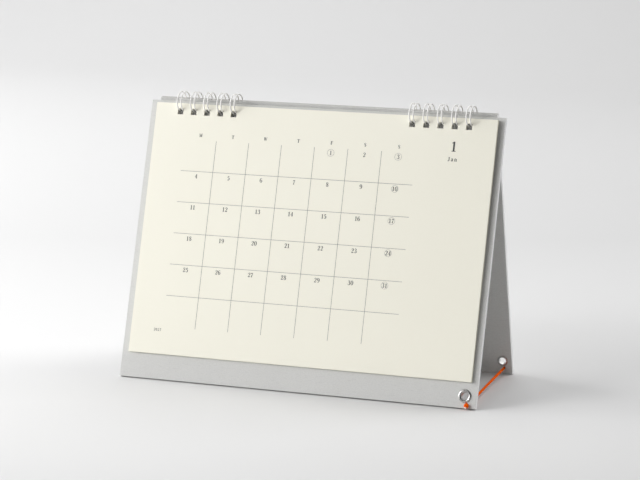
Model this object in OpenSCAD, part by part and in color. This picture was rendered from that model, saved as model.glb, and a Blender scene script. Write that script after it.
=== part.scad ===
// Desk calendar: a block of month sheets on two short twin-loop wires, held by two
// greyboard boards that lean on each other at the top and are tied by a cord below.
// Millimetres, +Z up, the month side faces -Y. The origin is on the table, under the
// middle of the front board's width and halfway between the front and back extremes.
// The centre line of the wires' wide arcs is the hinge of the back board and the sheets.

/* [Month sheets] */
// Width of the block of sheets
page_w = 210; // [190:0.5:300]
// Height of the block of sheets
page_h = 148; // [142:0.5:210]
// Thickness of the block of sheets
page_t = 1.6; // [1:0.1:2.4]
// Sideways play of the block on the wires, towards the right
page_shift = 0.45; // [-0.6:0.05:0.6]
// Distance from the block's top edge down to the centres of its holes
page_hole_depth = 4.8; // [4.2:0.1:6]
// Distance from the front board's face to the block's back at the hinge line
page_standoff = 1.25; // [0.8:0.05:2]
// Distance from the front board's face to the block's back at its lower edge
page_rest = 0.2; // [0.1:0.05:0.4]

/* [Boards] */
// Width of the front board that shows on each side of the sheets
side_margin = 4; // [2:0.5:12]
// Height of the front board that shows under the sheets
bottom_strip = 14.7; // [13:0.1:30]
// How much narrower the back board is than the front board
back_narrower = 10; // [0:0.5:20]
// Sideways offset of the back board's middle from the front board's middle
back_shift = -1; // [-3:0.5:3]
// Thickness of each board
board_t = 2.4; // [1.8:0.1:3]
// Lean of the front board from upright, in degrees
front_tilt = 17.3; // [12:0.1:24]
// Lean of the back board from upright, in degrees
back_tilt = 14; // [10:0.1:20]
// Distance from the front board's top edge down to the centres of its wire holes
front_hole_depth = 7.3; // [6:0.1:10]
// How far the back board's top edge stands above the hinge line, along the board
back_rise = 1.2; // [0.6:0.1:2]
// How far the hinge line lies behind the front board's face
hinge_inset = 0.1; // [0:0.05:0.6]

/* [Wires] */
// Diameter of the wire
wire_d = 0.85; // [0.7:0.05:1.2]
// Number of twin loops on each of the two wires
loops = 5; // [2:1:6]
// Distance between neighbouring twin loops
loop_pitch = 8.467; // [7:0.001:10]
// Distance from the sheets' side edges to the outermost twin loops
loop_inset = 16.1; // [10:0.1:24]
// Distance between the two strands of one twin loop, centre to centre
strand_gap = 2.4; // [2:0.1:2.8]
// Radius of the loops' tighter curve in front of the sheets
belly_r = 4.5; // [4:0.1:5.5]
// Bend radius of the wire at the root of each loop
bend_r = 0.7; // [0.6:0.05:1]
// Length of the cut end that is left beside the last loop
wire_stub = 1.6; // [0.5:0.1:3]
// Space between the wire and the back board's top corner
corner_play = 0.13; // [0.1:0.01:0.3]
// Space between the wire and each board where its roots lie between the closed boards
root_play = 0.2; // [0.05:0.01:0.3]
// Space between a loop's closed tip and the bends at its root
tip_gap = 0.5; // [0.2:0.05:0.8]

/* [Wire holes] */
// Space between a twin loop and the sides of the holes in the sheets
page_hole_side = 0.175; // [0.1:0.025:0.4]
// Space between the wire and the upper edges of the sheets' holes
page_hole_play = 0.12; // [0.08:0.02:0.3]
// Space between a twin loop and the sides of the holes in the boards
board_hole_side = 0.25; // [0.1:0.05:0.6]
// Space between the wire and the upper edges of the front board's holes
front_hole_play = 0.25; // [0.15:0.05:0.5]
// Space between the wire and the ends of the tall holes in the back board
back_hole_play = 0.3; // [0.2:0.05:0.6]

/* [Month print] */
// Number of weekday columns
columns = 7; // [5:1:7]
// Number of week rows
rows = 6; // [4:1:6]
// Width of one column
column_w = 20.5; // [16:0.1:22]
// Height of one row
row_h = 18.45; // [14:0.05:19]
// Distance from the block's left edge to the first column
print_left = 20; // [12:0.5:40]
// Distance from the block's top edge to the first row
print_top = 21.4; // [14:0.1:24]
// Width of the printed lines
line_w = 0.2; // [0.1:0.05:0.5]
// Outer diameter of the printed rings around some dates
mark_d = 4.2; // [3:0.1:5]
// Line width of the printed rings
mark_line = 0.12; // [0.1:0.02:0.3]
// Distance from a row's top line down to the centre of its dates
date_drop = 2.8; // [2.2:0.1:4]
// Thickness of the printed layer
ink_t = 0.05; // [0.02:0.01:0.1]

/* [Eyelets] */
// Bore of each eyelet
eyelet_bore = 4.4; // [3.5:0.1:5]
// Wall of each eyelet's barrel
eyelet_wall = 0.4; // [0.3:0.05:0.6]
// Outer diameter of the domed flange on a board's outer face
dome_d = 7.6; // [7.2:0.1:8]
// Height of the domed flange over the board
dome_h = 0.7; // [0.5:0.05:0.75]
// Outer diameter of the curled edge on a board's hidden face
curl_d = 6.6; // [6.2:0.1:7]
// Height of the curled edge over the board
curl_t = 0.4; // [0.3:0.05:0.5]
// Space between an eyelet's barrel and its hole
barrel_play = 0.05; // [0.02:0.01:0.1]
// Distance of the front eyelet from the front board's right edge
front_eyelet_in = 7; // [5.5:0.1:15]
// Distance of the front eyelet from the front board's lower edge
front_eyelet_up = 6.8; // [6.6:0.1:12]
// Distance of the back eyelet from the back board's right edge
back_eyelet_in = 5.5; // [4.5:0.1:15]
// Distance of the back eyelet from the back board's lower edge
back_eyelet_up = 8.6; // [7:0.1:14]

/* [Cord] */
// Diameter of the cord that limits the opening
cord_d = 1.5; // [1:0.1:1.8]
// Space around the cord in its holes
cord_play = 0.1; // [0.05:0.05:0.2]
// Distance of the front cord hole to the right of the front eyelet
front_cord_aside = 1.4; // [0:0.1:3]
// Distance of the back cord hole to the right of the back eyelet
back_cord_aside = 0.6; // [0:0.1:3]
// Board left between each flange's rim and its cord hole
cord_web = 0.05; // [0.05:0.05:0.5]
// Diameter of the stopper knots
knot_d = 3.1; // [2.6:0.1:4]
// Height of the stopper knots over the board
knot_h = 2.4; // [2.1:0.1:4]
// Space between a knot and the flange's rim
knot_web = 0.1; // [0.05:0.05:0.3]
// Height of the front knot's tail end over the table
tail_clear = 0.15; // [0.1:0.05:0.6]

/* [Hidden] */

greyboard = "#b9b8b4";
cream_paper = "#f3f1e2";
print_grey = "#8a8a86";
coated_wire = "#eceae6";
bright_metal = "#c9cbce";
cord_orange = "#e8531a";
through = 1;

// Planes across the hinge, as distances behind the hinge line
front_back_y = board_t - hinge_inset;
closed_gap = wire_d + 2 * root_play;
back_in_y = front_back_y + closed_gap;
back_out_y = back_in_y + board_t;
page_back_y = hinge_inset + page_standoff;
page_face_y = page_back_y + page_t;

// The loops' arc behind and over the hinge line clears the back board's upper outer corner
ring_inner_r = norm([back_out_y, back_rise]) + corner_play;
ring_r = ring_inner_r + wire_d / 2;
ring_outer_r = ring_r + wire_d / 2;

// How far below the hinge line a circle of radius r passes at the distance y from it
function drop_at(r, y) = sqrt(r * r - y * y);

// In front of the sheets each strand curves more tightly, and then it runs straight back
// through the holes to its root
root_y = front_back_y + closed_gap / 2;
root_drop = drop_at(norm([ring_r, bend_r]), root_y);
belly_y = belly_r - ring_r;
root_span = norm([root_y - belly_y, root_drop]);
straight_angle = acos(-belly_r / root_span) - atan2(root_drop, root_y - belly_y);
straight_y = belly_y - belly_r * cos(straight_angle);
straight_len = drop_at(root_span, belly_r) - bend_r;
bend_y = root_y - bend_r * sin(straight_angle);
bend_drop = root_drop - bend_r * cos(straight_angle);

// How far below the hinge line a strand's upper side crosses the plane at the distance y
// behind that line
function strand_drop(y) =
    let (middle = y < straight_y
        ? drop_at(belly_r, y - belly_y)
        : root_drop - (root_y - y) / tan(straight_angle))
    middle - wire_d / 2 / sin(straight_angle);

loop_w = strand_gap + wire_d;
page_hole = loop_w + 2 * page_hole_side;
board_hole = loop_w + 2 * board_hole_side;
front_hole_drop = strand_drop(-hinge_inset) - front_hole_play + board_hole / 2;
front_top = front_hole_depth - front_hole_drop;
back_hole_low = drop_at(ring_outer_r, back_in_y) + back_hole_play;
back_hole_high = drop_at(ring_inner_r, back_out_y) - back_hole_play;
page_top = page_hole_depth - page_hole / 2 + page_hole_play - strand_drop(-page_face_y);
page_foot = page_top - page_h;
page_lean = asin((page_standoff - page_rest) / -page_foot);
page_tilt = front_tilt - page_lean;
front_foot = page_foot - bottom_strip;
front_w = page_w + 2 * side_margin;
back_w = front_w - back_narrower;

// Height of the hinge line: the front board stands on its rear lower edge
hinge_z = front_back_y * sin(front_tilt) - front_foot * cos(front_tilt);
// The back board stands on its inner lower edge
back_foot = -(hinge_z + back_in_y * sin(back_tilt)) / cos(back_tilt);
front_reach = hinge_inset * cos(front_tilt) - front_foot * sin(front_tilt);
back_reach = back_out_y * cos(back_tilt) - back_foot * sin(back_tilt);
hinge_y = (front_reach - back_reach) / 2;

// Twin loops: the wire's angles are counted from behind the hinge line towards the top
root_reach = strand_gap / 2 + bend_r;
bend_far = norm([bend_y, bend_drop]);
tip_far = drop_at(root_reach + wire_d + tip_gap, root_reach);
tip_turn = acos((ring_r * ring_r + bend_far * bend_far - tip_far * tip_far) / (2 * ring_r * bend_far));
tip_angle = tip_turn - atan2(bend_drop, bend_y);
root_len = loop_pitch - 2 * root_reach;
joint_swell = 0.015;
outer_loop_x = page_w / 2 - loop_inset;
left_loops = [for (i = [0:loops - 1]) -outer_loop_x + i * loop_pitch];
right_loops = [for (i = [0:loops - 1]) outer_loop_x - (loops - 1 - i) * loop_pitch];
all_loops = concat(left_loops, right_loops);

// Eyelets and cord holes
barrel_d = eyelet_bore + 2 * eyelet_wall;
eyelet_hole_d = barrel_d + 2 * barrel_play;
cord_hole_d = cord_d + 2 * cord_play;
cord_hole_away = (dome_d + cord_hole_d) / 2 + cord_web;
dome_half = (dome_d - eyelet_bore) / 4;
dome_r = (dome_half * dome_half + dome_h * dome_h) / (2 * dome_h);
front_eyelet_x = front_w / 2 - front_eyelet_in;
front_eyelet_z = front_foot + front_eyelet_up;
back_eyelet_x = back_shift + back_w / 2 - back_eyelet_in;
back_eyelet_z = back_foot + back_eyelet_up;
front_cord_x = front_eyelet_x + front_cord_aside;
front_cord_z = front_eyelet_z - drop_at(cord_hole_away, front_cord_aside);
back_cord_x = back_eyelet_x + back_cord_aside;
back_cord_z = back_eyelet_z - drop_at(cord_hole_away, back_cord_aside);

// The knots sit beside the flanges' rims, and the front one's tail ends over the table
knot_away = (dome_d + knot_d) / 2 + knot_web;
front_knot_z = front_eyelet_z - drop_at(knot_away, front_cord_aside);
back_knot_z = back_eyelet_z - drop_at(knot_away, back_cord_aside);
tail_end_z = (tail_clear - hinge_z - hinge_inset * sin(front_tilt)) / cos(front_tilt);
knot_tail = front_knot_z - tail_end_z;

// Print
dates_from = 4;
ringed_dates = [1, 3, 10, 17, 24, 31];
date_x = print_left + column_w / 2;
date_y = print_top + date_drop;

// The cord's middle line from the front knot to the back knot
cord_route = [
    [103.4, -46.1, 2.88],
    [103.4, -45.0, 2.54],
    [103.4, -43.9, 2.2],
    [103.37, -42.8, 1.97],
    [103.28, -41.0, 1.86],
    [103.05, -37.0, 1.93],
    [102.3, -25.0, 2.24],
    [101.15, -6.0, 2.77],
    [99.95, 14.0, 3.2],
    [98.95, 30.0, 3.5],
    [98.45, 38.0, 3.61],
    [98.2, 41.4, 3.64],
    [98.12, 42.75, 3.69],
    [98.1, 43.7, 3.84],
    [98.1, 44.8, 4.11],
    [98.1, 45.85, 4.37]
];
cord_sides = 8;
cord_ring_step = 4;

// Places the children in the frame of the front board, with the hinge line as its X axis
module on_front() {
    translate([0, hinge_y, hinge_z]) rotate([-front_tilt, 0, 0]) children();
}

// Places the children in the frame of the back board, with the hinge line as its X axis
module on_back() {
    translate([0, hinge_y, hinge_z]) rotate([back_tilt, 0, 0]) children();
}

// Places the children in the frame of the sheets, with the hinge line as its X axis
module on_pages() {
    translate([0, hinge_y, hinge_z]) rotate([-page_tilt, 0, 0]) children();
}

// A row of rectangular holes, one for each twin loop
module loop_holes(width, low, high, from_y, to_y) {
    for (x = all_loops)
        translate([x - width / 2, from_y - through, low])
            cube([width, to_y - from_y + 2 * through, high - low]);
}

// A round hole across a board
module round_hole(d, x, z, from_y, to_y) {
    translate([x, from_y - through, z])
        rotate([-90, 0, 0])
            cylinder(d = d, h = to_y - from_y + 2 * through, $fn = 48);
}

module front_board() {
    color(greyboard)
        on_front()
            difference() {
                translate([-front_w / 2, -hinge_inset, front_foot])
                    cube([front_w, board_t, front_top - front_foot]);
                loop_holes(
                    board_hole,
                    -front_hole_drop - board_hole / 2,
                    -front_hole_drop + board_hole / 2,
                    -hinge_inset,
                    front_back_y
                );
                round_hole(eyelet_hole_d, front_eyelet_x, front_eyelet_z, -hinge_inset, front_back_y);
                round_hole(cord_hole_d, front_cord_x, front_cord_z, -hinge_inset, front_back_y);
            }
}

module back_board() {
    color(greyboard)
        on_back()
            difference() {
                translate([back_shift - back_w / 2, back_in_y, back_foot])
                    cube([back_w, board_t, back_rise - back_foot]);
                loop_holes(board_hole, -back_hole_low, -back_hole_high, back_in_y, back_out_y);
                round_hole(eyelet_hole_d, back_eyelet_x, back_eyelet_z, back_in_y, back_out_y);
                round_hole(cord_hole_d, back_cord_x, back_cord_z, back_in_y, back_out_y);
            }
}

module page_block() {
    hole_z = page_top - page_hole_depth;
    color(cream_paper)
        on_pages()
            difference() {
                translate([page_shift - page_w / 2, -page_face_y, page_foot])
                    cube([page_w, page_t, page_h]);
                loop_holes(
                    page_hole,
                    hole_z - page_hole / 2,
                    hole_z + page_hole / 2,
                    -page_face_y,
                    -page_back_y
                );
            }
}

// Places flat print on the block's face, with x and y counted from its upper left corner
module on_page_face() {
    on_pages()
        translate([page_shift - page_w / 2, -page_face_y, page_top])
            rotate([90, 0, 0])
                linear_extrude(ink_t)
                    children();
}

module day_mark(day) {
    place = dates_from + day - 1;
    translate([date_x + place % columns * column_w, -date_y - floor(place / columns) * row_h])
        difference() {
            circle(d = mark_d, $fn = 48);
            circle(d = mark_d - 2 * mark_line, $fn = 48);
        }
}

module month_grid() {
    color(print_grey)
        on_page_face() {
            for (i = [1:columns - 1])
                translate([print_left + i * column_w - line_w / 2, -print_top - rows * row_h])
                    square([line_w, rows * row_h]);
            for (i = [1:rows - 1])
                translate([print_left, -print_top - i * row_h - line_w / 2])
                    square([columns * column_w, line_w]);
            for (day = ringed_dates)
                day_mark(day);
        }
}

// Places the children on a strand's wide arc at an angle, with x outwards, y along the arc
// and z along the hinge
module on_ring(angle) {
    rotate([90, 0, 90]) rotate([0, 0, angle]) translate([ring_r, 0, 0]) children();
}

// Places the children at the end of a strand's straight stretch, with y along that stretch
// and z along the hinge
module at_root() {
    rotate([90, 0, 90]) translate([bend_y, -bend_drop, 0]) rotate([0, 0, straight_angle - 180]) children();
}

// A ball a hair thicker than the wire, where two stretches of it meet
module wire_joint() {
    sphere(d = wire_d + 2 * joint_swell, $fn = 24);
}

// A round bend of the wire in the plane z = 0, which starts on the X axis
module wire_bend(radius, angle) {
    rotate_extrude(angle = angle, $fn = 64)
        translate([radius, 0])
            circle(d = wire_d, $fn = 24);
}

// One strand from the closed tip over the top to the front, and back to the root
module strand() {
    rotate([90, 0, 90]) {
        rotate([0, 0, tip_angle]) wire_bend(ring_r, 180 - tip_angle);
        translate([belly_y, 0, 0]) rotate([0, 0, 180]) wire_bend(belly_r, straight_angle);
    }
    at_root() rotate([90, 0, 0]) cylinder(d = wire_d, h = straight_len, $fn = 24);
    on_ring(tip_angle) wire_joint();
    on_ring(180) wire_joint();
    at_root() translate([0, -straight_len, 0]) wire_joint();
    at_root() wire_joint();
}

// The bend from a strand's root to the straight wire on its outer side, 1 or -1 along X
module root_bend(side) {
    at_root() {
        translate([0, 0, side * bend_r]) rotate([0, side * 90, 0]) wire_bend(bend_r, 90);
        translate([0, bend_r, side * bend_r]) wire_joint();
    }
}

// Straight wire along the hinge, at the height of the roots
module root_wire(from_x, length) {
    translate([from_x, 0, 0])
        at_root()
            translate([0, bend_r, 0])
                cylinder(d = wire_d, h = length, $fn = 24);
}

module twin_loop() {
    on_ring(tip_angle) rotate([180, 90, 0]) wire_bend(strand_gap / 2, 180);
    for (side = [-1, 1])
        translate([side * strand_gap / 2, 0, 0]) {
            strand();
            root_bend(side);
        }
}

module ring_wire(places) {
    last = len(places) - 1;
    color(coated_wire)
        on_front() {
            for (x = places)
                translate([x, 0, 0]) twin_loop();
            for (i = [0:last - 1])
                root_wire(places[i] + root_reach, root_len);
            root_wire(places[0] - root_reach - wire_stub, wire_stub);
            root_wire(places[last] + root_reach, wire_stub);
        }
}

module ring_wire_left() {
    ring_wire(left_loops);
}

module ring_wire_right() {
    ring_wire(right_loops);
}

// An eyelet along +Z through a board that lies on the plane z = 0, with its curled edge
// below the board and its domed flange on top of it
module eyelet() {
    bore_r = eyelet_bore / 2;
    rotate_extrude($fn = 96) {
        translate([bore_r, -curl_t]) square([eyelet_wall, curl_t + board_t]);
        translate([bore_r, -curl_t]) square([curl_d / 2 - bore_r - curl_t / 2, curl_t]);
        translate([curl_d / 2 - curl_t / 2, -curl_t / 2]) circle(d = curl_t, $fn = 32);
        difference() {
            translate([bore_r + dome_half, board_t + dome_h - dome_r]) circle(r = dome_r, $fn = 64);
            translate([0, board_t - dome_d]) square([dome_d, dome_d]);
        }
    }
}

module front_eyelet() {
    color(bright_metal)
        on_front()
            translate([front_eyelet_x, front_back_y, front_eyelet_z])
                rotate([90, 0, 0])
                    eyelet();
}

module back_eyelet() {
    color(bright_metal)
        on_back()
            translate([back_eyelet_x, back_in_y, back_eyelet_z])
                rotate([-90, 0, 0])
                    eyelet();
}

// The cord is swept along a smooth line through its route's points
function unit(v) = v / norm(v);
function direction(route, i) =
    unit(route[min(i + 1, len(route) - 1)] - route[max(i - 1, 0)]);
function curve_point(a, b, way_a, way_b, t) =
    let (reach = norm(b - a) * t * (1 - t))
    a + (b - a) * t * t * (3 - 2 * t) + reach * ((1 - t) * way_a - t * way_b);
function smooth(route, step) = concat(
    [
        for (i = [0:len(route) - 2])
            let (
                a = route[i],
                b = route[i + 1],
                pieces = ceil(norm(b - a) / step)
            )
            for (k = [0:pieces - 1])
                curve_point(a, b, direction(route, i), direction(route, i + 1), k / pieces)
    ],
    [route[len(route) - 1]]
);
function ring_point(route, i, angle) =
    let (
        way = direction(route, i),
        aside = unit(cross(way, [0, 0, 1])),
        up = cross(aside, way)
    )
    route[i] + cord_d / 2 * (cos(angle) * aside + sin(angle) * up);

module tube(route, sides) {
    count = len(route);
    points = [
        for (i = [0:count - 1])
            for (k = [0:sides - 1])
                ring_point(route, i, (k + 0.5) * 360 / sides)
    ];
    walls = [
        for (i = [0:count - 2])
            for (k = [0:sides - 1])
                let (next = (k + 1) % sides)
                [i * sides + k, (i + 1) * sides + k, (i + 1) * sides + next, i * sides + next]
    ];
    first_end = [for (k = [0:sides - 1]) k];
    last_end = [for (k = [0:sides - 1]) count * sides - 1 - k];
    polyhedron(points, concat(walls, [first_end, last_end]), convexity = 6);
}

module limit_cord() {
    color(cord_orange) tube(smooth(cord_route, cord_ring_step), cord_sides);
}

// A stopper knot that sits on the plane z = 0, with its cut tail towards -Y
module knot() {
    dome_r = knot_d / 2;
    difference() {
        union() {
            translate([0, 0, knot_h - dome_r]) sphere(r = dome_r, $fn = 32);
            cylinder(r = dome_r, h = knot_h - dome_r, $fn = 32);
            translate([0, 0, cord_d / 2]) rotate([90, 0, 0]) cylinder(d = cord_d, h = knot_tail, $fn = 24);
        }
        translate([0, 0, -knot_d]) cylinder(r = knot_d, h = knot_d, $fn = 32);
    }
}

module front_knot() {
    color(cord_orange)
        on_front()
            translate([front_cord_x, -hinge_inset, front_knot_z])
                rotate([90, 0, 0])
                    knot();
}

module back_knot() {
    color(cord_orange)
        on_back()
            translate([back_cord_x, back_out_y, back_knot_z])
                rotate([90, 0, 180])
                    knot();
}

front_board();
back_board();
page_block();
month_grid();
ring_wire_left();
ring_wire_right();
front_eyelet();
back_eyelet();
limit_cord();
front_knot();
back_knot();
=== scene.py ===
"""A standing desk calendar, dressed over its CAD frame. Lengths named _mm are millimetres."""

import math
import random

import bmesh
import bpy
from mathutils import Matrix, Vector


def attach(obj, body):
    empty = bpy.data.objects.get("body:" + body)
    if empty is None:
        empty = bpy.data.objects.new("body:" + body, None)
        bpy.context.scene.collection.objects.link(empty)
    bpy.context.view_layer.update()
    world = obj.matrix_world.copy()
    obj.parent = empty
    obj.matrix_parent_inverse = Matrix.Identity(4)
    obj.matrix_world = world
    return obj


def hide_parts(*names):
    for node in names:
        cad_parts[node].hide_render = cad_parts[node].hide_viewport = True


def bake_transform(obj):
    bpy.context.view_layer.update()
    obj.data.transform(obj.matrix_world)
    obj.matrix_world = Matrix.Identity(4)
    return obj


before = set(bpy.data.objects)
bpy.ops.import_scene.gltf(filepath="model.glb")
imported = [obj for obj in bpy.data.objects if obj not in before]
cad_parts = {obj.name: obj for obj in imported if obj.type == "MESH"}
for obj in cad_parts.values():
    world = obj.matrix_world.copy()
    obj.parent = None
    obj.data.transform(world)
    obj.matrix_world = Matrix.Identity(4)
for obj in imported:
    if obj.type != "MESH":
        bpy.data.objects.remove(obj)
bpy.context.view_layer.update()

# These lengths and leans repeat the values of the CAD source.
MM = 0.001
HINGE_MM = Vector((0.0, 1.82098, 156.861))
FRONT_LEAN = math.radians(-17.3)
PAGE_LEAN = math.radians(-16.8959)
BACK_LEAN = math.radians(14.0)
BOARD_T_MM = 2.4
FRONT_FACE_MM = -0.1
BACK_INNER_MM = 3.55
PAGE_W_MM = 210.0
PAGE_H_MM = 148.0
PAGE_SHIFT_MM = 0.45
PAGE_LEFT_MM = PAGE_SHIFT_MM - PAGE_W_MM / 2
PAGE_FACE_MM = -2.95
PAGE_BACK_MM = -1.35
PAGE_TOP_MM = -0.876688
PAGE_HOLE_MM = 3.6
PAGE_HOLE_DEPTH_MM = 4.8
LOOP_PITCH_MM = 8.467
LOOP_COUNT = 5
LOOP_INSET_MM = 16.1
OUTER_LOOP_MM = PAGE_W_MM / 2 - LOOP_INSET_MM

IN_MM = Matrix.Scale(MM, 4)


def leaning(lean):
    """The matrix from a leaning frame on the hinge line, in mm, to the shared frame, in metres."""
    move = Matrix.Translation(HINGE_MM * MM)
    turn = Matrix.Rotation(lean, 4, "X")
    return move @ turn @ IN_MM


ON_FRONT = leaning(FRONT_LEAN)
ON_PAGES = leaning(PAGE_LEAN)
ON_BACK = leaning(BACK_LEAN)


# Camera: fitted to the edges of the boards, the sheets and the wires in the photograph.

CAMERA_AT = Vector((0.50879, -1.33708, 0.33864))
CAMERA_AZIMUTH = math.radians(20.90)
CAMERA_DOWN = math.radians(10.21)
CAMERA_ROLL = math.radians(0.26)
LENS_MM = 140.5
SENSOR_MM = 36.0
FAR_CLIP = 20


def make_camera():
    ahead = Vector(
        (
            -math.sin(CAMERA_AZIMUTH) * math.cos(CAMERA_DOWN),
            math.cos(CAMERA_AZIMUTH) * math.cos(CAMERA_DOWN),
            -math.sin(CAMERA_DOWN),
        )
    )
    level = Vector((math.cos(CAMERA_AZIMUTH), math.sin(CAMERA_AZIMUTH), 0))
    upward = level.cross(ahead)
    right = math.cos(CAMERA_ROLL) * level + math.sin(CAMERA_ROLL) * upward
    above = math.cos(CAMERA_ROLL) * upward - math.sin(CAMERA_ROLL) * level
    data = bpy.data.cameras.new("camera")
    data.sensor_width = SENSOR_MM
    data.lens = LENS_MM
    data.clip_end = FAR_CLIP
    camera = bpy.data.objects.new("camera", data)
    turn = Matrix((right, above, -ahead)).transposed().to_4x4()
    camera.matrix_world = Matrix.Translation(CAMERA_AT) @ turn
    bpy.context.collection.objects.link(camera)
    bpy.context.scene.camera = camera


# Shader helpers

# The colour sockets of a mix node, by their numbers.
COLOUR_A = 6
COLOUR_B = 7
COLOUR_OUT = 2


def new_material(name):
    """A new material, with its node tree and its surface shader."""
    material = bpy.data.materials.new(name)
    material.use_nodes = True
    tree = material.node_tree
    return material, tree, tree.nodes["Principled BSDF"]


def object_noise(tree, scale, detail, stretch=(1, 1, 1), turn=(0, 0, 0)):
    """A noise in the piece's own coordinates, in metres, so it stays on the surface."""
    place = tree.nodes.new("ShaderNodeTexCoord")
    shape = tree.nodes.new("ShaderNodeMapping")
    shape.inputs["Scale"].default_value = stretch
    shape.inputs["Rotation"].default_value = turn
    noise = tree.nodes.new("ShaderNodeTexNoise")
    noise.inputs["Scale"].default_value = scale
    noise.inputs["Detail"].default_value = detail
    tree.links.new(place.outputs["Object"], shape.inputs["Vector"])
    tree.links.new(shape.outputs["Vector"], noise.inputs["Vector"])
    return noise.outputs["Fac"]


def grey(level):
    return (level, level, level)


def ramp(tree, value, stops):
    """The colour that belongs to a value, through stops of (value, colour)."""
    node = tree.nodes.new("ShaderNodeValToRGB")
    tree.links.new(value, node.inputs["Fac"])
    steps = node.color_ramp.elements
    while len(steps) < len(stops):
        steps.new(0.5)
    for step, (position, colour) in zip(steps, stops):
        step.position = position
        step.color = (*colour, 1)
    return node.outputs["Color"]


def tones(tree, value, first, last, ends=(0.3, 0.7)):
    """The first colour up to one end of a value's range, the last one from the other end."""
    return ramp(tree, value, [(ends[0], first), (ends[1], last)])


def colour_mix(tree, a, b):
    node = tree.nodes.new("ShaderNodeMix")
    node.data_type = "RGBA"
    tree.links.new(a, node.inputs[COLOUR_A])
    tree.links.new(b, node.inputs[COLOUR_B])
    return node


def multiply(tree, a, b):
    node = colour_mix(tree, a, b)
    node.blend_type = "MULTIPLY"
    node.inputs["Factor"].default_value = 1
    return node.outputs[COLOUR_OUT]


def mixed(tree, share, a, b):
    """Colour a where share is 0 and colour b where it is 1."""
    node = colour_mix(tree, a, b)
    tree.links.new(share, node.inputs["Factor"])
    return node.outputs[COLOUR_OUT]


def along_axis(tree, source, axis):
    """The place ("Object") or facing ("Normal") of a point, measured along an axis of the piece."""
    place = tree.nodes.new("ShaderNodeTexCoord")
    along = tree.nodes.new("ShaderNodeVectorMath")
    along.operation = "DOT_PRODUCT"
    along.inputs[1].default_value = axis
    tree.links.new(place.outputs[source], along.inputs[0])
    return along.outputs["Value"]


def facing_way(tree, axis):
    """White where the surface faces along an axis of the piece, either way, and black elsewhere."""
    size = tree.nodes.new("ShaderNodeMath")
    size.operation = "ABSOLUTE"
    tree.links.new(along_axis(tree, "Normal", axis), size.inputs[0])
    return tones(tree, size.outputs[0], grey(0), grey(1))


def slope(tree, axis, low, high):
    """How far a point lies along an axis of the piece, as 0 at low to 1 at high, in metres."""
    reach = tree.nodes.new("ShaderNodeMapRange")
    reach.inputs["From Min"].default_value = low
    reach.inputs["From Max"].default_value = high
    tree.links.new(along_axis(tree, "Object", axis), reach.inputs["Value"])
    return reach.outputs["Result"]


def bump(tree, shader, height, depth_mm, strength):
    node = tree.nodes.new("ShaderNodeBump")
    node.inputs["Distance"].default_value = depth_mm * MM
    node.inputs["Strength"].default_value = strength
    tree.links.new(height, node.inputs["Height"])
    tree.links.new(node.outputs["Normal"], shader.inputs["Normal"])


# Materials: each colour is a pair, at the low and at the high end of a noise.

BOARD_FACE = ((0.61, 0.61, 0.596), (0.70, 0.70, 0.687))
BOARD_CORE = ((0.36, 0.357, 0.34), (0.50, 0.495, 0.475))
# Painted highlight: the boards' side cut edges get this far paler grey than their other cut edges.
BOARD_SIDE_HIGHLIGHT = (grey(0.86), grey(0.93))
PAPER = ((0.92, 0.898, 0.785), (0.935, 0.913, 0.805))
LINE_INK = (grey(0.16), grey(0.3))
DATE_INK = (grey(0.035), grey(0.09))
COATING = ((0.82, 0.81, 0.79), (0.88, 0.87, 0.85))
NICKEL = ((0.47, 0.47, 0.465), (0.56, 0.557, 0.545))
YARN = ((0.93, 0.085, 0.0), (1.0, 0.17, 0.0))
CORD_CORE = ((0.72, 0.62, 0.52), (0.92, 0.86, 0.78))
WIDE_ENDS = (0.25, 0.75)


def make_greyboard(name, lean, tone):
    """Pale grey board, darker on its upper and lower cut edges, with a painted highlight that makes
    its side cut edges paler.
    """
    material, tree, shader = new_material(name)
    pulp = object_noise(tree, scale=2200, detail=4)
    fibres = object_noise(tree, scale=900, detail=3, stretch=(0.35, 1, 2.4), turn=(0, 0.25, 0))
    clouds = object_noise(tree, scale=16, detail=3)
    # A tone above 1 paints light onto the board's grey.
    low, high = [tuple(part * tone for part in colour) for colour in BOARD_FACE]
    face = tones(tree, pulp, low, high, WIDE_ENDS)
    # Painted highlight on the side cut edges, in a paler copy of the board's grey.
    side = tones(tree, pulp, *BOARD_SIDE_HIGHLIGHT, WIDE_ENDS)
    core = tones(tree, pulp, *BOARD_CORE, WIDE_ENDS)
    fibre = tones(tree, fibres, grey(0.93), grey(1), (0.28, 0.42))
    cloud = tones(tree, clouds, grey(0.975), grey(1), WIDE_ENDS)
    facing = multiply(tree, multiply(tree, face, fibre), cloud)
    is_end = facing_way(tree, (0, -math.sin(lean), math.cos(lean)))
    is_lit_side = facing_way(tree, (1, 0, 0))
    with_lit_sides = mixed(tree, is_lit_side, facing, side)
    tree.links.new(mixed(tree, is_end, with_lit_sides, core), shader.inputs["Base Color"])
    shader.inputs["Roughness"].default_value = 0.88
    shader.inputs["Specular IOR Level"].default_value = 0.3
    bump(tree, shader, pulp, depth_mm=0.06, strength=0.5)
    return material


def make_paper():
    material, tree, shader = new_material("cream_paper")
    fibre = object_noise(tree, scale=1600, detail=4, stretch=(1, 1, 1.6), turn=(0, 0.3, 0))
    cloud = object_noise(tree, scale=18, detail=2)
    base = tones(tree, fibre, *PAPER)
    tone = tones(tree, cloud, grey(0.99), grey(1))
    tree.links.new(multiply(tree, base, tone), shader.inputs["Base Color"])
    shader.inputs["Roughness"].default_value = 0.8
    shader.inputs["Specular IOR Level"].default_value = 0.3
    bump(tree, shader, fibre, depth_mm=0.02, strength=0.3)
    return material


def make_ink(name, colours):
    material, tree, shader = new_material(name)
    speckle = object_noise(tree, scale=2600, detail=2)
    tree.links.new(tones(tree, speckle, *colours, (0.35, 0.75)), shader.inputs["Base Color"])
    shader.inputs["Roughness"].default_value = 0.65
    return material


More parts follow.
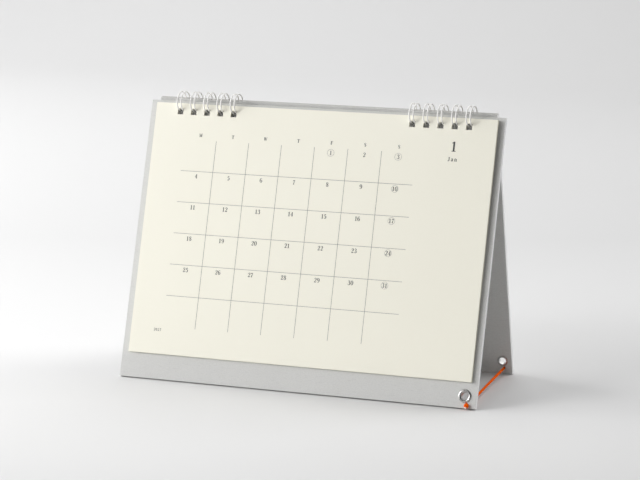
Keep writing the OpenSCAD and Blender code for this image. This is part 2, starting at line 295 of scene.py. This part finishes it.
def make_coating():
    material, tree, shader = new_material("white_coating")
    mottle = object_noise(tree, scale=650, detail=2)
    tree.links.new(tones(tree, mottle, *COATING), shader.inputs["Base Color"])
    tree.links.new(tones(tree, mottle, grey(0.3), grey(0.42)), shader.inputs["Roughness"])
    shader.inputs["Coat Weight"].default_value = 0.15
    shader.inputs["Coat Roughness"].default_value = 0.25
    bump(tree, shader, mottle, depth_mm=0.02, strength=0.4)
    return material


def make_nickel():
    material, tree, shader = new_material("bright_nickel")
    brushing = object_noise(tree, scale=1500, detail=3)
    tree.links.new(tones(tree, brushing, *NICKEL), shader.inputs["Base Color"])
    tree.links.new(tones(tree, brushing, grey(0.24), grey(0.34)), shader.inputs["Roughness"])
    shader.inputs["Metallic"].default_value = 1
    bump(tree, shader, brushing, depth_mm=0.01, strength=0.4)
    return material


def make_cord_yarn():
    material, tree, shader = new_material("orange_yarn")
    fibre = object_noise(tree, scale=3800, detail=3, stretch=(1, 0.35, 1))
    tree.links.new(tones(tree, fibre, *YARN, WIDE_ENDS), shader.inputs["Base Color"])
    shader.inputs["Roughness"].default_value = 0.85
    shader.inputs["Specular IOR Level"].default_value = 0.06
    bump(tree, shader, fibre, depth_mm=0.06, strength=0.6)
    return material


def make_cord_core():
    material, tree, shader = new_material("pale_core")
    fibre = object_noise(tree, scale=5200, detail=3)
    tree.links.new(tones(tree, fibre, *CORD_CORE), shader.inputs["Base Color"])
    shader.inputs["Roughness"].default_value = 0.7
    bump(tree, shader, fibre, depth_mm=0.08, strength=0.6)
    return material


# Mesh helper


def new_piece(name, build, materials, smooth=False):
    """A new object from a bmesh whose points are already in the shared frame."""
    mesh = bpy.data.meshes.new(name)
    bmesh.ops.recalc_face_normals(build, faces=build.faces[:])
    build.to_mesh(mesh)
    build.free()
    for material in materials:
        mesh.materials.append(material)
    for face in mesh.polygons:
        face.use_smooth = smooth
    piece = bpy.data.objects.new(name, mesh)
    bpy.context.collection.objects.link(piece)
    return piece


# Month sheets: separate thin leaves, each with its punched holes.

# A leaf fills its share of the pitch, and slides, rises and drops by up to these lengths.
SHEET_COUNT = 14
LEAF_SHARE = 0.8
SLIDE_MM = 0.16
RAISE_MM = 0.08
DROP_MM = 0.14
SHEET_SEED = 7


def hole_spans():
    """The left and right edges of the punched holes, from the middle of the binding."""
    inwards = [OUTER_LOOP_MM - i * LOOP_PITCH_MM for i in range(LOOP_COUNT)]
    places = [-x for x in inwards] + inwards[::-1]
    return [(x - PAGE_HOLE_MM / 2, x + PAGE_HOLE_MM / 2) for x in places]


def add_leaf(build, near, far, slide, drop):
    """One leaf between two depths. Its outer edges move by slide and drop, its holes don't."""
    left = PAGE_LEFT_MM + slide
    right = PAGE_LEFT_MM + PAGE_W_MM + slide
    top = PAGE_TOP_MM - drop
    bottom = PAGE_TOP_MM - PAGE_H_MM - drop
    hole_z = PAGE_TOP_MM - PAGE_HOLE_DEPTH_MM
    edges = [left] + [x for span in hole_spans() for x in span] + [right]
    levels = [bottom, hole_z - PAGE_HOLE_MM / 2, hole_z + PAGE_HOLE_MM / 2, top]
    grid = {}
    for i, x in enumerate(edges):
        for k, z in enumerate(levels):
            for y in (near, far):
                grid[i, k, y] = build.verts.new(ON_PAGES @ Vector((x, y, z)))

    def is_solid(i, k):
        """The cells of the middle level at odd places are the holes."""
        inside = 0 <= i < len(edges) - 1 and 0 <= k < len(levels) - 1
        return inside and not (k == 1 and i % 2 == 1)

    for i in range(len(edges) - 1):
        for k in range(len(levels) - 1):
            if not is_solid(i, k):
                continue
            corners = [(i, k), (i + 1, k), (i + 1, k + 1), (i, k + 1)]
            build.faces.new([grid[a, b, near] for a, b in corners])
            build.faces.new([grid[a, b, far] for a, b in reversed(corners)])
            sides = [
                (i, k - 1, corners[0], corners[1]),
                (i + 1, k, corners[1], corners[2]),
                (i, k + 1, corners[2], corners[3]),
                (i - 1, k, corners[3], corners[0]),
            ]
            for a, b, start, end in sides:
                if not is_solid(a, b):
                    build.faces.new(
                        (grid[*start, near], grid[*start, far], grid[*end, far], grid[*end, near])
                    )


def make_sheets(paper):
    chance = random.Random(SHEET_SEED)
    pitch = (PAGE_BACK_MM - PAGE_FACE_MM) / SHEET_COUNT
    build = bmesh.new()
    for i in range(SHEET_COUNT):
        near = PAGE_FACE_MM + i * pitch
        slide = 0 if i == 0 else chance.uniform(-SLIDE_MM, SLIDE_MM)
        drop = 0 if i == 0 else chance.uniform(-RAISE_MM, DROP_MM)
        add_leaf(build, near, near + pitch * LEAF_SHARE, slide, drop)
    sheets = new_piece("month_sheets", build, [paper])
    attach(sheets, "pages")
    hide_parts("page_block")


# Print: a plain serif face of thick and thin strokes, drawn here stroke by stroke.

# Each letter has its width and its strokes, in heights of a capital. A stroke is a list of
# (x, y, width), from the left end of the baseline.

GLYPHS = {
    "0": (
        0.62,
        [
            [
                (0.31, 1.0, 0.05),
                (0.14, 0.86, 0.11),
                (0.08, 0.5, 0.16),
                (0.14, 0.14, 0.11),
                (0.31, 0.0, 0.05),
                (0.48, 0.14, 0.11),
                (0.54, 0.5, 0.16),
                (0.48, 0.86, 0.11),
                (0.31, 1.0, 0.05),
            ]
        ],
    ),
    "1": (
        0.56,
        [
            [(0.3, 0.0, 0.15), (0.3, 0.5, 0.15), (0.3, 0.99, 0.15)],
            [(0.09, 0.84, 0.05), (0.2, 0.88, 0.07), (0.33, 0.98, 0.07)],
            [(0.08, 0.02, 0.05), (0.3, 0.02, 0.06), (0.52, 0.02, 0.05)],
        ],
    ),
    "2": (
        0.62,
        [
            [
                (0.13, 0.72, 0.14),
                (0.16, 0.9, 0.06),
                (0.31, 1.0, 0.06),
                (0.48, 0.91, 0.12),
                (0.51, 0.72, 0.15),
                (0.41, 0.5, 0.12),
                (0.23, 0.29, 0.06),
                (0.08, 0.05, 0.06),
            ],
            [(0.07, 0.07, 0.13), (0.3, 0.07, 0.14), (0.52, 0.07, 0.12)],
            [(0.51, 0.04, 0.06), (0.54, 0.14, 0.05), (0.56, 0.26, 0.04)],
        ],
    ),
    "3": (
        0.6,
        [
            [
                (0.13, 0.8, 0.12),
                (0.17, 0.94, 0.06),
                (0.31, 1.0, 0.06),
                (0.45, 0.91, 0.12),
                (0.47, 0.75, 0.14),
                (0.38, 0.58, 0.08),
                (0.24, 0.53, 0.05),
            ],
            [
                (0.24, 0.53, 0.05),
                (0.42, 0.48, 0.08),
                (0.52, 0.28, 0.16),
                (0.45, 0.08, 0.12),
                (0.29, 0.0, 0.06),
                (0.13, 0.06, 0.06),
                (0.09, 0.2, 0.13),
            ],
        ],
    ),
    "4": (
        0.62,
        [
            [(0.42, 0.0, 0.14), (0.42, 0.5, 0.14), (0.42, 1.0, 0.14)],
            [(0.42, 0.98, 0.05), (0.22, 0.63, 0.05), (0.05, 0.3, 0.05)],
            [(0.03, 0.29, 0.06), (0.3, 0.29, 0.06), (0.6, 0.29, 0.06)],
            [(0.25, 0.02, 0.05), (0.42, 0.02, 0.06), (0.59, 0.02, 0.05)],
        ],
    ),
    "5": (
        0.6,
        [
            [(0.17, 0.94, 0.12), (0.32, 0.94, 0.13), (0.5, 0.95, 0.1)],
            [(0.15, 0.98, 0.05), (0.14, 0.75, 0.05), (0.13, 0.52, 0.05)],
            [
                (0.14, 0.54, 0.05),
                (0.28, 0.63, 0.07),
                (0.45, 0.55, 0.12),
                (0.51, 0.33, 0.16),
                (0.43, 0.09, 0.12),
                (0.28, 0.0, 0.06),
                (0.13, 0.06, 0.06),
                (0.09, 0.19, 0.12),
            ],
        ],
    ),
    "6": (
        0.62,
        [
            [
                (0.49, 0.85, 0.11),
                (0.42, 0.97, 0.06),
                (0.3, 0.99, 0.06),
                (0.14, 0.84, 0.1),
                (0.08, 0.48, 0.16),
                (0.14, 0.13, 0.12),
                (0.31, 0.0, 0.05),
                (0.48, 0.11, 0.11),
                (0.53, 0.3, 0.15),
                (0.47, 0.5, 0.11),
                (0.32, 0.59, 0.05),
                (0.16, 0.5, 0.06),
                (0.1, 0.36, 0.07),
            ]
        ],
    ),
    "7": (
        0.6,
        [
            [(0.09, 0.93, 0.12), (0.3, 0.93, 0.13), (0.54, 0.94, 0.11)],
            [(0.09, 0.98, 0.05), (0.07, 0.87, 0.05), (0.06, 0.76, 0.04)],
            [(0.53, 0.92, 0.05), (0.38, 0.62, 0.08), (0.27, 0.3, 0.14), (0.25, 0.0, 0.17)],
        ],
    ),
    "8": (
        0.62,
        [
            [
                (0.31, 1.0, 0.05),
                (0.15, 0.9, 0.1),
                (0.14, 0.73, 0.14),
                (0.31, 0.55, 0.12),
                (0.48, 0.4, 0.14),
                (0.52, 0.2, 0.14),
                (0.31, 0.0, 0.05),
                (0.1, 0.18, 0.1),
                (0.13, 0.38, 0.07),
                (0.31, 0.54, 0.06),
                (0.47, 0.72, 0.07),
                (0.46, 0.9, 0.09),
                (0.31, 1.0, 0.05),
            ]
        ],
    ),
    "9": (
        0.62,
        [
            [
                (0.13, 0.15, 0.11),
                (0.2, 0.03, 0.06),
                (0.32, 0.01, 0.06),
                (0.48, 0.16, 0.1),
                (0.54, 0.52, 0.16),
                (0.48, 0.87, 0.12),
                (0.31, 1.0, 0.05),
                (0.14, 0.89, 0.11),
                (0.09, 0.7, 0.15),
                (0.15, 0.5, 0.11),
                (0.3, 0.41, 0.05),
                (0.46, 0.5, 0.06),
                (0.52, 0.64, 0.07),
            ]
        ],
    ),
    "M": (
        1.08,
        [
            [(0.2, 0.0, 0.04), (0.2, 0.5, 0.04), (0.2, 0.98, 0.04)],
            [(0.2, 0.99, 0.1), (0.36, 0.5, 0.13), (0.52, 0.02, 0.08)],
            [(0.52, 0.02, 0.04), (0.68, 0.5, 0.04), (0.85, 0.99, 0.04)],
            [(0.87, 0.0, 0.15), (0.87, 0.5, 0.15), (0.87, 1.0, 0.15)],
            [(0.07, 0.02, 0.05), (0.2, 0.02, 0.05), (0.33, 0.02, 0.05)],
            [(0.07, 0.98, 0.05), (0.17, 0.98, 0.05), (0.28, 0.98, 0.05)],
            [(0.72, 0.02, 0.05), (0.87, 0.02, 0.05), (1.02, 0.02, 0.05)],
            [(0.82, 0.98, 0.05), (0.92, 0.98, 0.05), (1.02, 0.98, 0.05)],
        ],
    ),
    "T": (
        0.84,
        [
            [(0.42, 0.0, 0.15), (0.42, 0.5, 0.15), (0.42, 1.0, 0.15)],
            [(0.06, 0.97, 0.06), (0.42, 0.97, 0.06), (0.78, 0.97, 0.06)],
            [(0.06, 1.0, 0.05), (0.05, 0.87, 0.05), (0.04, 0.74, 0.03)],
            [(0.78, 1.0, 0.05), (0.79, 0.87, 0.05), (0.8, 0.74, 0.03)],
            [(0.25, 0.02, 0.05), (0.42, 0.02, 0.05), (0.59, 0.02, 0.05)],
        ],
    ),
    "W": (
        1.16,
        [
            [(0.14, 0.99, 0.13), (0.25, 0.5, 0.13), (0.36, 0.02, 0.1)],
            [(0.36, 0.02, 0.04), (0.48, 0.5, 0.04), (0.6, 0.98, 0.04)],
            [(0.52, 0.99, 0.13), (0.64, 0.5, 0.13), (0.76, 0.02, 0.1)],
            [(0.76, 0.02, 0.04), (0.88, 0.5, 0.04), (1.0, 0.99, 0.04)],
            [(0.02, 0.98, 0.05), (0.15, 0.98, 0.05), (0.28, 0.98, 0.05)],
            [(0.42, 0.98, 0.05), (0.55, 0.98, 0.05), (0.68, 0.98, 0.05)],
            [(0.9, 0.98, 0.05), (1.0, 0.98, 0.05), (1.12, 0.98, 0.05)],
        ],
    ),
    "F": (
        0.76,
        [
            [(0.22, 0.0, 0.15), (0.22, 0.5, 0.15), (0.22, 1.0, 0.15)],
            [(0.07, 0.97, 0.06), (0.38, 0.97, 0.06), (0.69, 0.97, 0.06)],
            [(0.69, 1.0, 0.05), (0.7, 0.87, 0.05), (0.71, 0.74, 0.03)],
            [(0.22, 0.5, 0.06), (0.36, 0.5, 0.06), (0.5, 0.5, 0.06)],
            [(0.5, 0.66, 0.04), (0.5, 0.5, 0.05), (0.5, 0.34, 0.04)],
            [(0.07, 0.02, 0.05), (0.24, 0.02, 0.05), (0.42, 0.02, 0.05)],
        ],
    ),
    "S": (
        0.66,
        [
            [
                (0.53, 0.74, 0.05),
                (0.48, 0.91, 0.06),
                (0.32, 1.0, 0.06),
                (0.14, 0.9, 0.1),
                (0.13, 0.7, 0.13),
                (0.32, 0.53, 0.14),
                (0.52, 0.35, 0.14),
                (0.5, 0.12, 0.11),
                (0.32, 0.0, 0.06),
                (0.14, 0.08, 0.06),
                (0.08, 0.28, 0.05),
            ]
        ],
    ),
    "J": (
        0.6,
        [
            [
                (0.38, 1.0, 0.15),
                (0.38, 0.6, 0.15),
                (0.38, 0.22, 0.14),
                (0.3, 0.03, 0.08),
                (0.15, 0.0, 0.06),
                (0.08, 0.14, 0.12),
            ],
            [(0.2, 0.98, 0.05), (0.38, 0.98, 0.05), (0.56, 0.98, 0.05)],
        ],
    ),
    "a": (
        0.58,
        [
            [
                (0.12, 0.52, 0.1),
                (0.17, 0.64, 0.06),
                (0.28, 0.67, 0.06),
                (0.4, 0.58, 0.12),
                (0.41, 0.4, 0.13),
                (0.41, 0.15, 0.13),
                (0.47, 0.01, 0.07),
                (0.55, 0.03, 0.05),
            ],
            [
                (0.41, 0.4, 0.05),
                (0.25, 0.36, 0.07),
                (0.1, 0.24, 0.12),
                (0.13, 0.05, 0.1),
                (0.25, 0.0, 0.06),
                (0.41, 0.14, 0.05),
            ],
        ],
    ),
    "n": (
        0.72,
        [
            [(0.17, 0.0, 0.13), (0.17, 0.34, 0.13), (0.17, 0.66, 0.13)],
            [
                (0.17, 0.46, 0.05),
                (0.3, 0.63, 0.07),
                (0.44, 0.65, 0.09),
                (0.54, 0.5, 0.13),
                (0.54, 0.25, 0.13),
                (0.54, 0.0, 0.13),
            ],
            [(0.05, 0.64, 0.05), (0.1, 0.65, 0.05), (0.17, 0.66, 0.05)],
            [(0.03, 0.02, 0.05), (0.17, 0.02, 0.05), (0.31, 0.02, 0.05)],
            [(0.4, 0.02, 0.05), (0.54, 0.02, 0.05), (0.68, 0.02, 0.05)],
        ],
    ),
}

# The strokes lie between two heights over the top sheet.
INK_LOW_MM = 0.004
INK_HIGH_MM = 0.03
CURVE_STEPS = 5


def smooth_stroke(points):
    """The stroke's points with more of them between, on a curve through them all."""
    closed = points[0] == points[-1]
    curve = []
    for i in range(len(points) - 1):
        before = points[i - 1] if i > 0 else (points[-2] if closed else points[0])
        after = points[i + 2] if i + 2 < len(points) else (points[1] if closed else points[-1])
        for k in range(CURVE_STEPS):
            t = k / CURVE_STEPS
            point = []
            for a, b, c, d in zip(before, points[i], points[i + 1], after):
                bend = 2 * b + (c - a) * t + (2 * a - 5 * b + 4 * c - d) * t * t
                point.append((bend + (3 * b - a - 3 * c + d) * t**3) / 2)
            curve.append(tuple(point))
    curve.append(points[-1])
    return curve


def add_stroke(build, stroke, left, base, height, weight):
    """One flat stroke on the top sheet, closed all round. left and base are in sheet mm."""
    points = smooth_stroke(stroke)
    rails = []
    for i, (x, y, width) in enumerate(points):
        here = points[max(i - 1, 0)]
        there = points[min(i + 1, len(points) - 1)]
        if stroke[0] == stroke[-1] and i in (0, len(points) - 1):
            here = points[-2]
            there = points[1]
        along = Vector((there[0] - here[0], there[1] - here[1])).normalized()
        side = Vector((-along.y, along.x)) * (width * weight) / 2
        rails.append(((x + side.x, y + side.y), (x - side.x, y - side.y)))
    rows = []
    for pair in rails:
        row = []
        for lift in (INK_LOW_MM, INK_HIGH_MM):
            for x, y in pair:
                spot = Vector(
                    (
                        PAGE_LEFT_MM + left + x * height,
                        PAGE_FACE_MM - lift,
                        PAGE_TOP_MM - base + y * height,
                    )
                )
                row.append(build.verts.new(ON_PAGES @ spot))
        rows.append(row)
    for a, b in zip(rows, rows[1:]):
        build.faces.new((a[2], b[2], b[3], a[3]))
        build.faces.new((a[1], b[1], b[0], a[0]))
        build.faces.new((a[0], b[0], b[2], a[2]))
        build.faces.new((a[3], b[3], b[1], a[1]))
    first = rows[0]
    last = rows[-1]
    build.faces.new((first[0], first[2], first[3], first[1]))
    build.faces.new((last[1], last[3], last[2], last[0]))


def add_word(build, word, across, down, height, spread, weight):
    """A word on the top sheet, with its middle at across and down from the sheet's top left.

    spread is the room between letters, in heights. weight thickens the strokes.
    """
    width = sum(GLYPHS[letter][0] + spread for letter in word) - spread
    left = across - width * height / 2
    for letter in word:
        advance, strokes = GLYPHS[letter]
        for stroke in strokes:
            add_stroke(build, stroke, left, down + height / 2, height, weight)
        left += (advance + spread) * height


FIRST_COLUMN_MM = 30.25
COLUMN_MM = 20.5
WEEKDAY_ROW_MM = 18.4
WEEKDAY_H_MM = 1.9
FIRST_DATE_MM = 24.2
ROW_MM = 18.45
DATE_H_MM = 2.45
DAYS = 31
FIRST_PLACE = 4
WEEKDAYS = "MTWTFSS"

# Word, its middle from the sheet's left and top edges, height, spread and weight.
TITLES = [
    ("1", 185.6, 16.5, 5.6, 0.0, 1.25),
    ("Jan", 185.5, 23.8, 2.2, 0.3, 1.5),
    ("2027", 16.9, 134.0, 1.5, 0.22, 1.3),
]


def make_print(ink):
    dates = bmesh.new()
    for day in range(1, DAYS + 1):
        row, column = divmod(FIRST_PLACE + day - 1, len(WEEKDAYS))
        across = FIRST_COLUMN_MM + column * COLUMN_MM
        down = FIRST_DATE_MM + row * ROW_MM
        add_word(dates, str(day), across, down, DATE_H_MM, spread=0.11, weight=1.25)
    heads = bmesh.new()
    for i, letter in enumerate(WEEKDAYS):
        across = FIRST_COLUMN_MM + i * COLUMN_MM
        add_word(heads, letter, across, WEEKDAY_ROW_MM, WEEKDAY_H_MM, spread=0, weight=1.5)
    titles = bmesh.new()
    for title in TITLES:
        add_word(titles, *title)
    for name, build in (("date_print", dates), ("weekday_print", heads), ("month_print", titles)):
        piece = new_piece(name, build, [ink])
        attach(piece, "pages")


# Cord: a fine braid over a pale core, with a knot at each end.

CORD_R_MM = 0.75
CORD_SIDES = 24
CORD_STEP_MM = 0.22
CORD_ROUTE_MM = [
    (103.4, -46.1, 2.88),
    (103.4, -45.0, 2.54),
    (103.4, -43.9, 2.2),
    (103.37, -42.8, 1.97),
    (103.28, -41.0, 1.86),
    (103.05, -37.0, 1.93),
    (102.3, -25.0, 2.24),
    (101.15, -6.0, 2.77),
    (99.95, 14.0, 3.2),
    (98.95, 30.0, 3.5),
    (98.45, 38.0, 3.61),
    (98.2, 41.4, 3.64),
    (98.12, 42.75, 3.69),
    (98.1, 43.7, 3.84),
    (98.1, 44.8, 4.11),
    (98.1, 45.85, 4.37),
]

# The strands cross over each other both ways round, and stand proud by STRAND_MM.
BRAID_STRANDS = 4
TWIST_PER_MM = 5.2
STRAND_MM = 0.06


def smooth_route(route, step):
    """Points on a smooth curve through the route, no further apart than step."""
    points = [Vector(p) for p in route]
    ways = []
    for i in range(len(points)):
        way = points[min(i + 1, len(points) - 1)] - points[max(i - 1, 0)]
        ways.append(way.normalized())
    curve = []
    for i in range(len(points) - 1):
        a = points[i]
        b = points[i + 1]
        span = (b - a).length
        pieces = math.ceil(span / step)
        for k in range(pieces):
            t = k / pieces
            bend = span * t * (1 - t)
            along = (1 - t) * ways[i] - t * ways[i + 1]
            curve.append(a + (b - a) * t * t * (3 - 2 * t) + bend * along)
    curve.append(points[-1])
    return curve


def braid(angle, run):
    """Height of the braid's strands, 0 to 1, at an angle and a run along the cord in mm."""
    one = math.cos(BRAID_STRANDS * angle + run * TWIST_PER_MM)
    other = math.cos(BRAID_STRANDS * angle - run * TWIST_PER_MM)
    return max(0.0, one, other)


def add_braided_tube(build, route, place, radius, sides):
    """A closed braided tube along a route in mm. It returns the face at the route's end."""
    run = 0.0
    rings = []
    aside = None
    for i, point in enumerate(route):
        way = (route[min(i + 1, len(route) - 1)] - route[max(i - 1, 0)]).normalized()
        if aside is None:
            aside = way.orthogonal().normalized()
        aside = (aside - way * aside.dot(way)).normalized()
        up = way.cross(aside)
        if i:
            run += (point - route[i - 1]).length
        ring = []
        for k in range(sides):
            angle = 2 * math.pi * k / sides
            reach = radius - STRAND_MM + STRAND_MM * braid(angle, run)
            spot = point + reach * (math.cos(angle) * aside + math.sin(angle) * up)
            ring.append(build.verts.new(place @ spot))
        rings.append(ring)
    for a, b in zip(rings, rings[1:]):
        for k in range(sides):
            n = (k + 1) % sides
            build.faces.new((a[k], b[k], b[n], a[n]))
    build.faces.new(rings[0][::-1])
    return build.faces.new(rings[-1])


def make_cord(yarn):
    build = bmesh.new()
    add_braided_tube(build, smooth_route(CORD_ROUTE_MM, CORD_STEP_MM), IN_MM, CORD_R_MM, CORD_SIDES)
    cord = new_piece("orange_cord", build, [yarn], smooth=True)
    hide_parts("limit_cord")
    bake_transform(cord)


# Knots: where each one's plane stands on its board, and the knot's own shape in mm.

FRONT_KNOT_X_MM = 103.4
FRONT_KNOT_Z_MM = -162.044
BACK_KNOT_X_MM = 98.1
BACK_KNOT_Z_MM = -159.365
KNOT_SIDES = 20
KNOT_X_MM = 0.35
KNOT_Z_MM = -0.1
TURN_R_MM = 0.66
TURN_START_DEG = -112
TURN_SWEEP_DEG = 400
TURN_STEPS = 60
TURN_REACH_MM = 0.8
TURN_SHRINK_MM = 0.12
TURN_NEAR_MM = 0.95
TURN_RISE_MM = 0.5
LUMP_R_MM = 0.72
LUMP_NEAR_MM = 0.15
LUMP_STEP_MM = 0.1
LUMP_STEPS = 14
TAIL_R_MM = 0.7
TAIL_STEP_MM = 0.12
TAIL_MM = [(0.3, -0.8, -0.3), (0.3, -0.95, -0.95), (0.3, -1.35, -1.25), (0.3, -1.95, -1.35)]


def knot_turn():
    """One turn of the cord and a bit more, a little tighter and further out as it goes."""
    points = []
    for i in range(TURN_STEPS + 1):
        t = i / TURN_STEPS
        angle = math.radians(TURN_START_DEG + TURN_SWEEP_DEG * t)
        reach = TURN_REACH_MM - TURN_SHRINK_MM * t
        x = KNOT_X_MM + reach * math.cos(angle)
        y = -TURN_NEAR_MM - TURN_RISE_MM * t
        z = KNOT_Z_MM + reach * math.sin(angle)
        points.append(Vector((x, y, z)))
    return points


def knot_lump():
    """A short straight run outwards, which the turn lies over."""
    points = []
    for i in range(LUMP_STEPS + 1):
        points.append(Vector((KNOT_X_MM, -LUMP_NEAR_MM - LUMP_STEP_MM * i, KNOT_Z_MM)))
    return points


def make_knot(name, place, body, yarn, core):
    """A stopper knot on the plane y = 0 of its place, facing -y.

    One turn of the cord lies over a lump of it, and the cut tail leaves below and outwards.
    """
    build = bmesh.new()
    add_braided_tube(build, knot_turn(), place, TURN_R_MM, KNOT_SIDES)
    add_braided_tube(build, knot_lump(), place, LUMP_R_MM, KNOT_SIDES)
    tail = smooth_route(TAIL_MM, TAIL_STEP_MM)
    cut_end = add_braided_tube(build, tail, place, TAIL_R_MM, KNOT_SIDES)
    cut_end.material_index = 1
    knot = new_piece(name, build, [yarn, core], smooth=True)
    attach(knot, body)
    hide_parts(name.replace("_braid", ""))
    return knot


def make_cord_and_knots(yarn, core):
    front_spot = (FRONT_KNOT_X_MM, FRONT_FACE_MM, FRONT_KNOT_Z_MM)
    back_spot = (BACK_KNOT_X_MM, BACK_INNER_MM + BOARD_T_MM, BACK_KNOT_Z_MM)
    front_place = ON_FRONT @ Matrix.Translation(front_spot)
    back_place = ON_BACK @ Matrix.Translation(back_spot) @ Matrix.Rotation(math.pi, 4, "Z")
    knots = [
        make_knot("front_knot_braid", front_place, "front", yarn, core),
        make_knot("back_knot_braid", back_place, "back", yarn, core),
    ]
    make_cord(yarn)


# The CAD nodes that stay get their materials, and the boards a worn edge.

FRONT_TONE = 1.0
# Painted light: the back board's grey is made 7% paler than the front's, to make up for the shade
# between the boards.
BACK_PAINTED_LIGHT_TONE = 1.07
WORN_EDGE_MM = 0.1
WORN_ANGLE = math.radians(40)


def dress(node, material):
    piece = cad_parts[node]
    for slot in piece.material_slots:
        slot.material = material
    return piece


def soften_edges(piece):
    bevel = piece.modifiers.new("worn_edge", "BEVEL")
    bevel.width = WORN_EDGE_MM * MM
    bevel.segments = 2
    bevel.limit_method = "ANGLE"
    bevel.angle_limit = WORN_ANGLE


def dress_board(node, lean, tone):
    board = dress(node, make_greyboard(node + "_pulp", lean, tone))
    soften_edges(board)


def dress_frame():
    coating = make_coating()
    nickel = make_nickel()
    dress_board("front_board", FRONT_LEAN, FRONT_TONE)
    dress_board("back_board", BACK_LEAN, BACK_PAINTED_LIGHT_TONE)
    for node in ("ring_wire_left", "ring_wire_right"):
        dress(node, coating)
    for node in ("front_eyelet", "back_eyelet"):
        dress(node, nickel)
    dress("month_grid", make_ink("line_ink", LINE_INK))


# Studio, in metres: a white sweep with painted shade, and broad square lights at the left, above
# and behind.

ACROSS_VIEW = (0.934, 0.357, 0)
INTO_VIEW = (-0.357, 0.934, 0)
SIDE_REACH = (-0.6, 0.6)
# Painted shade on the sweep: its white darkens to the right across the view, and dips and rises
# into it.
SIDE_PAINTED_SHADE = (grey(0.86), grey(0.58))
DEPTH_REACH = (-0.3, 1.5)
DEPTH_PAINTED_SHADE = [(0.0, 0.84), (0.13, 1.0), (0.22, 0.985), (0.42, 0.88), (1.0, 0.93)]
SWEEP_NEAR = -3.0
SWEEP_BEND = 1.4
SWEEP_RADIUS = 0.9
SWEEP_STEPS = 16
SWEEP_TOP = 4.0
SWEEP_HALF_WIDTH = 3.5
LIGHT_AIM = Vector((0.0, 0.0, 0.08))
SKY_STRENGTH = 0.07

# Name, place, length of a side and watts.
LIGHTS = [
    ("left_front_light", (-1.3, -1.5, 1.0), 1.0, 16.1),
    ("left_light", (-2.0, 0.2, 1.0), 1.2, 25.9),
    ("left_low_light", (-1.7, -1.0, 0.7), 1.2, 25.0),
    ("top_light", (0.0, 0.2, 2.3), 2.0, 8.3),
    ("back_light", (0.0, 1.3, 2.2), 2.0, 25.9),
    ("right_back_light", (1.8, 1.4, 1.4), 1.6, 26.6),
]


def make_sweep_paint():
    """White, with painted shade across the view and into it, as the floor is shaded in the
    photograph.
    """
    material, tree, shader = new_material("white_sweep")
    across = slope(tree, ACROSS_VIEW, *SIDE_REACH)
    inwards = slope(tree, INTO_VIEW, *DEPTH_REACH)
    # Painted shade: the sweep's white is darkened across the view and into it.
    side_shade = tones(tree, across, *SIDE_PAINTED_SHADE, ends=(0.0, 1.0))
    depth_shade = ramp(tree, inwards, [(place, grey(level)) for place, level in DEPTH_PAINTED_SHADE])
    tree.links.new(multiply(tree, side_shade, depth_shade), shader.inputs["Base Color"])
    shader.inputs["Roughness"].default_value = 0.95
    shader.inputs["Specular IOR Level"].default_value = 0.1
    return material


def make_sweep():
    profile = [(SWEEP_NEAR, 0.0), (SWEEP_BEND, 0.0)]
    for i in range(1, SWEEP_STEPS + 1):
        angle = math.pi / 2 * i / SWEEP_STEPS
        y = SWEEP_BEND + SWEEP_RADIUS * math.sin(angle)
        z = SWEEP_RADIUS - SWEEP_RADIUS * math.cos(angle)
        profile.append((y, z))
    profile.append((SWEEP_BEND + SWEEP_RADIUS, SWEEP_TOP))
    build = bmesh.new()
    rails = []
    for y, z in profile:
        left = build.verts.new((-SWEEP_HALF_WIDTH, y, z))
        right = build.verts.new((SWEEP_HALF_WIDTH, y, z))
        rails.append((left, right))
    for a, b in zip(rails, rails[1:]):
        build.faces.new((a[0], a[1], b[1], b[0]))
    sweep = new_piece("white_sweep", build, [make_sweep_paint()], smooth=True)


def make_light(name, place, side, watts):
    data = bpy.data.lights.new(name, "AREA")
    data.shape = "SQUARE"
    data.size = side
    data.energy = watts
    light = bpy.data.objects.new(name, data)
    turn = (LIGHT_AIM - Vector(place)).to_track_quat("-Z", "Y").to_matrix().to_4x4()
    light.matrix_world = Matrix.Translation(place) @ turn
    bpy.context.collection.objects.link(light)


def make_sky():
    world = bpy.data.worlds.new("soft_sky")
    world.use_nodes = True
    sky = world.node_tree.nodes["Background"]
    sky.inputs["Color"].default_value = (1, 1, 1, 1)
    sky.inputs["Strength"].default_value = SKY_STRENGTH
    bpy.context.scene.world = world


make_camera()
make_sheets(make_paper())
make_print(make_ink("date_ink", DATE_INK))
make_cord_and_knots(make_cord_yarn(), make_cord_core())
dress_frame()
make_sweep()
for light in LIGHTS:
    make_light(*light)
make_sky()
bpy.context.scene.view_settings.view_transform = "Standard"
